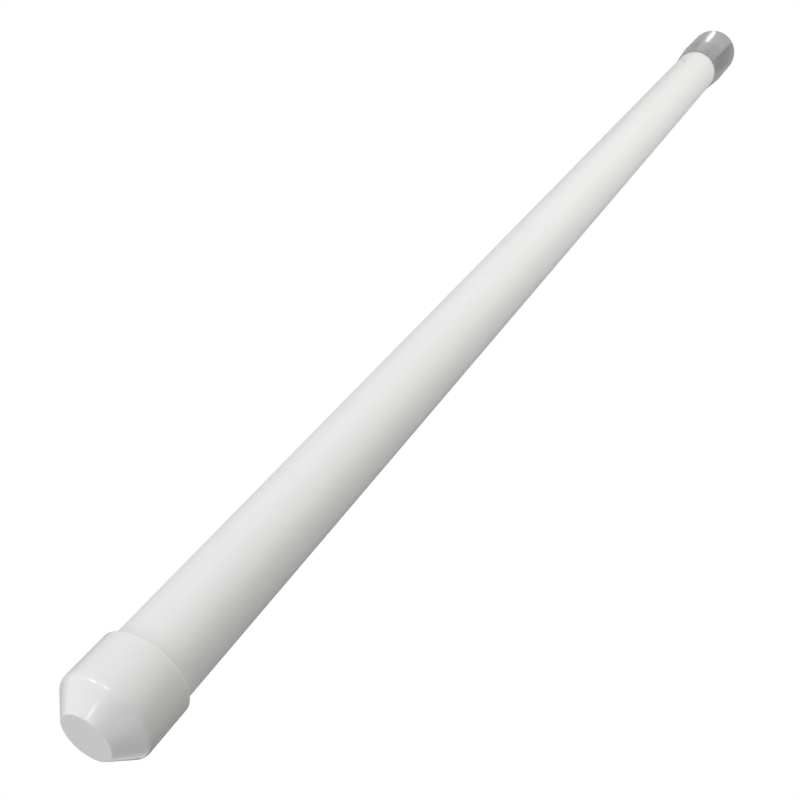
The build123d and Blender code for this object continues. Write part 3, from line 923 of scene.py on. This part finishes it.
def make_fed_dipole():
    """The dipole's skirt and the pieces inside it."""
    jacket_r = radius_of("cable_jacket") + SLIDE
    make_ring("quarter_wave_skirt", "brass_tube", "dipole_skirt", SKIRT_BORE_R, 0.2 * MM, 128)
    make_ring("skirt_short", "brass_tube", "skirt_collar", radius_of("cable_braid") + GAP, 0.3 * MM, 96)
    for number, name in enumerate(("spacer_low", "spacer_high"), 1):
        make_ring(name, "ptfe", f"skirt_spacer_{number}", jacket_r, 0.4 * MM, 96)
    make_ring("feed_bush", "brass_tube", "feed_ferrule", radius_of("cable_conductor") + GAP, 0.3 * MM)
    outer, low, high = span_of("feed_insulator")
    bore = radius_of("cable_dielectric") + SLIDE
    skirt_r = SKIRT_BORE_R - SLIDE
    tube_r = TUBE_BORE_R - SLIDE
    skirt_top = heights_of("dipole_skirt")[1]
    tube_bottom = heights_of("radiator_lower")[0]
    outline = [
        (bore, low), (skirt_r, low), (skirt_r, skirt_top), (outer, skirt_top),
        (outer, tube_bottom), (tube_r, tube_bottom), (tube_r, high), (bore, high),
    ]
    blends = {1: 0.5 * MM, 3: 0.4 * MM, 4: 0.4 * MM, 6: 0.4 * MM}
    finished(lathe("feed_spool", rounded(outline, blends, 5), 96), "ptfe", "feed_insulator")


def pin_heights():
    """The roll pins' heights: below and above each joint between radiators."""
    heights = []
    for low_tube, high_tube in JOINTS:
        heights += [heights_of(low_tube)[1] - PIN_INSET, heights_of(high_tube)[0] + PIN_INSET]
    return heights


def make_radiator(name, node):
    """A radiator tube, with a cross hole for each of its roll pins."""
    radius, low, high = span_of(node)
    outline = ring_outline(TUBE_BORE_R, radius, low, high, 0.25 * MM)
    tube = lathe(name, divided(outline, 20 * MM), 96)
    holes = [(0.0, height, PIN_R + GAP) for height in pin_heights() if low < height < high]
    drilled(tube, holes, -radius, radius, across=True, segments=28)
    finished(tube, "brass_tube", node)


def make_phasing(number, low_tube, high_tube):
    """The insulating former between two radiators, and the coil round it."""
    radius, _, bottom = span_of(low_tube)
    top = heights_of(high_tube)[0]
    spigot_r = TUBE_BORE_R - SLIDE
    outline = capped(
        (spigot_r, bottom - SPIGOT_LENGTH), (spigot_r, bottom), (radius, bottom),
        (radius, top), (spigot_r, top), (spigot_r, top + SPIGOT_LENGTH),
    )
    blends = {1: 0.6 * MM, 3: 0.3 * MM, 4: 0.3 * MM, 6: 0.6 * MM}
    former = lathe(f"former_{number}", divided(rounded(outline, blends, 5), 6 * MM), 72)
    pins = [(0.0, bottom - PIN_INSET, PIN_R + GAP), (0.0, top + PIN_INSET, PIN_R + GAP)]
    drilled(former, pins, -radius, radius, across=True, segments=28)
    finished(former, "former_grp", f"phasing_former_{number}")

    start = (bottom + top - COIL_PITCH * COIL_TURNS) / 2
    per_turn = 24
    path = [Vector((COIL_RADIUS, 0, bottom - COIL_LEAD)), Vector((COIL_RADIUS, 0, bottom))]
    for step in range(COIL_TURNS * per_turn + 1):
        angle = math.tau * step / per_turn
        height = start + COIL_PITCH * step / per_turn
        path.append(Vector((COIL_RADIUS * math.cos(angle), COIL_RADIUS * math.sin(angle), height)))
    path += [Vector((COIL_RADIUS, 0, top)), Vector((COIL_RADIUS, 0, top + COIL_LEAD))]
    coil = swept(f"coil_{number}", softened(path, 2), COIL_WIRE_R)
    finished(coil, "copper", f"phasing_coil_{number}")


def make_solder():
    """A fillet of solder along each lead of each coil, against the radiator."""
    low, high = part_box("coil_solder")
    tube_r = radius_of("radiator_lower")
    width = high.y - low.y
    corner = 0.45
    past = 1 * MM
    starts = []
    for low_tube, high_tube in JOINTS:
        starts.append(heights_of(low_tube)[1] - COIL_LEAD)
        starts.append(heights_of(high_tube)[0] + COIL_LEAD - SOLDER_LENGTH)
    drops = []
    for start in starts:
        loops = []
        for share, scale in ((0.0, 0.5), (0.1, 0.8), (0.3, 1.0), (0.7, 1.0), (0.9, 0.8), (1.0, 0.5)):
            loop = square_loop(width * scale, width * scale * corner, start + SOLDER_LENGTH * share)
            loops.append([(tube_r + x, y, z) for x, y, z in loop])
        drop = stacked("drop", loops, SOLDER_CREASE)
        for name, radius, segments, offset in (
            ("tube", tube_r + GAP, 72, 0.0), ("wire", COIL_WIRE_R + GAP, 28, COIL_RADIUS)
        ):
            rod = capped((radius, start - past), (radius, start + SOLDER_LENGTH + past))
            boolean(drop, placed(lathe(name, rod, segments), shift(offset, 0, 0)), SOLDER_CREASE)
        drops.append(drop)
    finished(joined("solder_joints", drops, SOLDER_CREASE), "solder", "coil_solder")


def make_pins():
    """The slotted roll pins through the radiators and formers."""
    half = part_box("former_pins")[1].y
    wall = 0.3 * MM
    half_slot = 0.35
    steps = 20
    nose = 0.3 * MM
    nose_scale = 0.85
    sections = [(-half, nose_scale), (-half + nose, 1.0), (half - nose, 1.0), (half, nose_scale)]
    pins = []
    for height in pin_heights():
        loops = []
        for along, scale in sections:
            loop = []
            for radius, outside in ((PIN_R * scale, True), (PIN_R - wall, False)):
                for step in range(steps + 1):
                    share = step / steps if outside else 1 - step / steps
                    angle = half_slot + (math.tau - 2 * half_slot) * share
                    loop.append((radius * math.cos(angle), along, height + radius * math.sin(angle)))
            loops.append(loop)
        pins.append(stacked("pin", loops))
    finished(joined("roll_pins", pins), "stainless", "former_pins")


def make_tip_plug():
    """The moulded plug in the top radiator's open end."""
    radius, low, high = span_of("radiator_tip_plug")
    shoulder = heights_of("radiator_upper")[1]
    spigot_r = TUBE_BORE_R - SLIDE
    outline = capped((spigot_r, low), (spigot_r, shoulder), (radius, shoulder), (radius - 1 * MM, high))
    blends = {1: 0.8 * MM, 3: 0.3 * MM, 4: 0.9 * MM}
    finished(lathe("tip_plug", rounded(outline, blends, 6), 72), "ptfe", "radiator_tip_plug")


# ---- supports inside the radome


def make_support_bush():
    """The bush round the skirt, drilled across for the radome screws."""
    radius, low, high = span_of("support_bush")
    edge = 0.6 * MM
    outline = ring_outline(radius_of("dipole_skirt") + SLIDE, radius, low, high, edge)
    bush = lathe("skirt_bush", outline)
    hole_r = SCREW_R + GAP
    cutter = lathe("drill", capped((hole_r, -radius - edge), (hole_r, radius + edge)), 40)
    boolean(bush, placed(cutter, shift(0, 0, (low + high) / 2) @ SIDEWAYS))
    finished(bush, "acetal", "support_bush")


def make_foam():
    """The foam discs round the skirt and the radiators, and the pad under the cap."""
    depth = 0.3 * MM
    size = 4 * MM
    discs = [("skirt_disc", radius_of("dipole_skirt"))]
    discs += [(f"centring_disc_{number}", radius_of("radiator_lower")) for number in range(1, 6)]
    for node, inner in discs:
        soft = uneven(radius_of(node), depth, size)
        make_ring(f"foam_{node}", "foam", node, inner + SLIDE, 0.5 * MM, 96, soft, 1.2 * MM)
    radius, low, high = span_of("top_pad")
    stop = heights_of("radome_tube")[1]
    nose_r = CAP_FACE_R - 3 * MM
    outline = capped((radius, low), (radius, stop - 2 * MM), (nose_r, stop + 2 * MM), (nose_r, high))
    blends = {1: 1 * MM, 2: 1.5 * MM, 3: 1.5 * MM, 4: 1 * MM}
    shaped = divided(rounded(outline, blends, 6), 1.5 * MM)
    pad = lathe("foam_pad", shaped, 96, SOFT_CREASE, uneven(radius, depth, size))
    finished(pad, "foam", "top_pad")


# ---- camera and studio

CAMERA_AZIMUTH = -48.0
CAMERA_REACH = 0.5042
CAMERA_RISE = 0.2493
CAMERA_PITCH = 46.106
CAMERA_YAW = 0.302
CAMERA_ROLL = 137.79
CAMERA_LENS = 46.68
SENSOR_WIDTH = 36.0

FLOOR_HEIGHT = cad_low.z - 4 * MM
FLOOR_HALF_SIDE = 9.0
BACKDROP_RADIUS = 20.0
WHITE_GLOW = 1.0
BOUNCE_GLOW = 0.202
BOUNCE_GREY = (0.45, 0.45, 0.45)
BOUNCE_TINT = (1.0, 1.0, 0.9, 1.0)
BLACK = (0.0, 0.0, 0.0)
WHITE = (1.0, 1.0, 1.0, 1.0)
SURROUND = 0.1
# Screens, as seen from the cap: name, distance, first and last compass angle, lowest and highest angle, glow.
SCREENS = [
    ("left_screen", 4.0, -172.0, -36.0, 12.0, 85.0, 1.0),
    ("right_screen", 4.0, 45.0, 165.0, -8.0, 65.0, 1.35),
    ("back_screen", 4.0, 165.0, 188.0, 10.0, 40.0, 0.4),
    ("left_pane", 3.0, -80.0, -65.0, 20.0, 38.0, 8.0),
    ("right_pane", 3.0, -48.0, -34.0, 20.0, 38.0, 8.0),
    ("cap_glint", 0.156, -56.0, -43.0, 49.5, 53.0, 7.0),
]
# Cards round the foot, which the sleeve reflects: name, inner and outer radius, first and last compass angle,
# grey level, glow.
CARDS = [
    # A painted shadow: a dim sheet on the floor where the antenna's shade falls, which the sleeve reflects.
    ("foot_painted_shadow", 46 * MM, 92 * MM, 27.0, 82.0, 0.42, 0.06),
    # A painted pool of light: a glowing sheet on the floor on the lit side of the foot, which the sleeve
    # reflects.
    ("foot_painted_light", 30 * MM, 92 * MM, -64.0, 24.0, 0.45, 0.46),
    ("back_flag", 0.15, 1.9, 132.0, 178.0, 0.05, 0.0),
]
# Lamps: name, compass angle, distance from the axis, height, the height on the axis that it aims at, width
# and height of its face, watts, red and blue against green.
LAMPS = [
    ("overhead_left", -60.0, 1.352, 3.6, 0.7, 2.4, 2.4, 46.0, 0.99, 1.0),
    ("overhead_back", -150.0, 1.352, 3.6, 0.7, 2.4, 2.4, 11.0, 0.96, 0.94),
    ("left_key", -60.0, 1.8, 1.1, 1.0, 1.0, 1.0, 11.0, 1.01, 1.03),
    ("left_high", -68.0, 1.65, 2.05, 1.16, 0.3, 0.45, 2.2, 1.0, 1.0),
    ("right_high", -37.0, 1.65, 2.05, 1.16, 0.3, 0.45, 2.8, 1.0, 1.0),
    ("low_front", 0.0, 1.2, 0.35, 0.2, 1.0, 0.6, 5.0, 0.99, 1.01),
    ("low_right", 30.0, 1.2, 0.35, 0.2, 1.0, 0.6, 3.6, 1.0, 0.97),
    ("back_fill", 180.0, 1.8, 1.1, 1.0, 1.0, 1.0, 22.0, 1.02, 0.97),
    ("base_right", 80.0, 0.8, 0.2, 0.2, 0.4, 0.4, 0.65, 1.0, 1.0),
]
# A small lamp on the floor, facing up, which makes the bright streak on the sleeve.
STREAK_AZIMUTH = -47.4
STREAK_REACH = 46.5 * MM
STREAK_TURN = 19.7
STREAK_WIDTH = 15 * MM
STREAK_LENGTH = 8 * MM
STREAK_WATTS = 0.0011


def around(azimuth, reach, height):
    """A point at a compass angle round the axis, in degrees from the camera's side."""
    angle = math.radians(CAMERA_AZIMUTH - azimuth)
    return Vector((reach * math.cos(angle), reach * math.sin(angle), height))


def unlit(thing):
    """Keeps a thing out of bounced light, reflections and shadows."""
    for ray in ("diffuse", "glossy", "transmission", "shadow"):
        setattr(thing, f"visible_{ray}", False)


def glowing(name, colour, glow):
    """A matt material that gives off light."""
    m = Maker(name, colour, 0.85)
    m.tint(m.noise(1.5), 0.01)
    m.gloss(m.noise(4.0), 0.05)
    m.put({"Specular IOR Level": 0.0, "Emission Color": WHITE, "Emission Strength": glow})
    return m


def staged(name, mesh, material):
    """A thing of the studio."""
    mesh.materials.append(material)
    thing = linked(name, mesh)
    return thing


def arc_sheet(name, first, last, columns, rows, place, material):
    """A sheet round the axis between two compass angles. place(azimuth, share) gives its points."""
    points = []
    faces = []
    for i in range(columns + 1):
        azimuth = first + (last - first) * i / columns
        points += [place(azimuth, k / rows) for k in range(rows + 1)]
    for i in range(columns):
        for k in range(rows):
            corner = i * (rows + 1) + k
            faces.append((corner, corner + 1, corner + rows + 2, corner + rows + 1))
    mesh = bpy.data.meshes.new(name)
    mesh.from_pydata(points, [], faces)
    return staged(name, mesh, material)


def square_sheet(name, height, material):
    """A level square sheet, centred on the antenna's axis."""
    side = FLOOR_HALF_SIDE
    corners = [(x * side, y * side, height) for x, y in ((-1, -1), (1, -1), (1, 1), (-1, 1))]
    mesh = bpy.data.meshes.new(name)
    mesh.from_pydata(corners, [], [(0, 1, 2, 3)])
    return staged(name, mesh, material)


def make_floor():
    """A white floor that only the camera sees, over a pale matt one that throws light back."""
    m = glowing("white_floor", BLACK, WHITE_GLOW)
    clear = m.add("ShaderNodeBsdfTransparent", {}, "BSDF")
    back = m.add("ShaderNodeNewGeometry", {}, "Backfacing")
    sides = {"Fac": back, 1: m.shader.outputs["BSDF"], 2: clear}
    surface = {"Surface": m.add("ShaderNodeMixShader", sides, "Shader")}
    m.put(surface, m.tree.nodes["Material Output"])
    unlit(square_sheet("floor", FLOOR_HEIGHT, m.material))
    bounce = glowing("pale_floor", BOUNCE_GREY, BOUNCE_GLOW)
    bounce.put({"Emission Color": BOUNCE_TINT})
    square_sheet("bounce_floor", FLOOR_HEIGHT - MM, bounce.material).visible_camera = False


def make_backdrop():
    """A white dome a long way off, which only the camera sees."""
    mesh = bpy.data.meshes.new("backdrop")
    bm = bmesh.new()
    bmesh.ops.create_icosphere(bm, subdivisions=4, radius=BACKDROP_RADIUS)
    bmesh.ops.reverse_faces(bm, faces=bm.faces)
    bm.to_mesh(mesh)
    bm.free()
    unlit(staged("backdrop", mesh, glowing("white_backdrop", BLACK, WHITE_GLOW).material))


def make_screens():
    """White screens round the cap, which only reflections see."""
    centre = heights_of("top_cap")[1]
    for name, radius, first, last, low, high, glow in SCREENS:

        def place(azimuth, share):
            rise = math.radians(low + (high - low) * share)
            return around(azimuth, radius * math.cos(rise), centre + radius * math.sin(rise))

        material = glowing(f"{name}_white", BLACK, glow).material
        screen = arc_sheet(name, first, last, 24, 12, place, material)
        unlit(screen)
        screen.visible_glossy = True
        screen.visible_camera = False


def make_cards():
    """The cards, which the camera doesn't see: painted shade and painted light on the floor by the foot, and
    a dark card behind.
    """
    height = FLOOR_HEIGHT - 0.5 * MM
    for name, inner, outer, first, last, grey, glow in CARDS:

        def place(azimuth, share):
            return around(azimuth, inner + (outer - inner) * share, height)

        material = glowing(f"{name}_grey", (grey, grey, grey), glow).material
        arc_sheet(name, first, last, 12, 1, place, material).visible_camera = False


def make_camera():
    """The camera beside and above the cap, looking down the antenna."""
    data = bpy.data.cameras.new("camera")
    data.sensor_width = SENSOR_WIDTH
    data.lens = CAMERA_LENS
    data.clip_start = 0.01
    data.clip_end = 50.0
    camera = linked("camera", data)
    upright = Vector((0, 0, 1))
    yaw = math.radians(CAMERA_YAW)
    pitch = math.radians(CAMERA_PITCH)
    roll = math.radians(CAMERA_ROLL)
    level = -around(0.0, 1.0, 0.0) * math.cos(yaw) + around(90.0, 1.0, 0.0) * math.sin(yaw)
    forward = level * math.cos(pitch) - upright * math.sin(pitch)
    right = forward.cross(upright).normalized()
    up = right.cross(forward)
    rolled_up = up * math.cos(roll) + right * math.sin(roll)
    turn = Matrix((forward.cross(rolled_up), rolled_up, -forward)).transposed()
    place = around(0.0, CAMERA_REACH, heights_of("top_cap")[0] + CAMERA_RISE)
    camera.matrix_world = shift(*place) @ turn.to_4x4()
    bpy.context.scene.camera = camera


def area_lamp(name, place, width, length, watts, colour=(1.0, 1.0, 1.0)):
    """A rectangular lamp that the camera doesn't see."""
    data = bpy.data.lights.new(name, "AREA")
    data.shape = "RECTANGLE"
    data.size = width
    data.size_y = length
    data.energy = watts
    data.color = colour
    lamp = linked(name, data)
    lamp.location = place
    lamp.visible_camera = False
    return lamp


def make_studio():
    """Soft lamps, and a dim even surround."""
    world = bpy.data.worlds.new("studio")
    world.use_nodes = True
    background = world.node_tree.nodes["Background"]
    background.inputs["Color"].default_value = WHITE
    background.inputs["Strength"].default_value = SURROUND
    bpy.context.scene.world = world
    bpy.context.scene.view_settings.view_transform = "Standard"
    for name, azimuth, reach, height, aim_height, width, length, watts, red, blue in LAMPS:
        place = around(azimuth, reach, height)
        lamp = area_lamp(name, place, width, length, watts, (red, 1.0, blue))
        lamp.rotation_euler = (Vector((0, 0, aim_height)) - place).to_track_quat("-Z", "Y").to_euler()
        lamp.visible_glossy = False
    place = around(STREAK_AZIMUTH, STREAK_REACH, FLOOR_HEIGHT + MM)
    streak = area_lamp("sleeve_streak", place, STREAK_WIDTH, STREAK_LENGTH, STREAK_WATTS)
    streak.rotation_euler = (math.pi, 0.0, math.radians(STREAK_TURN))


make_radome()
make_cap()
make_sleeve()
make_bonds()
make_radome_screws()
make_flange_screws()
make_socket()
make_ring("socket_insert", "ptfe", "socket_insulator", radius_of("socket_contact") + GAP, 0.15 * MM)
make_contact()
make_gasket()
make_base_plug()
make_cable()
make_crimp()
make_fed_dipole()
for position in ("lower", "middle", "upper"):
    make_radiator(f"element_{position}", f"radiator_{position}")
for joint, (below, above) in enumerate(JOINTS, 1):
    make_phasing(joint, below, above)
make_solder()
make_pins()
make_tip_plug()
make_support_bush()
make_foam()
make_floor()
make_backdrop()
make_screens()
make_cards()
make_camera()
make_studio()
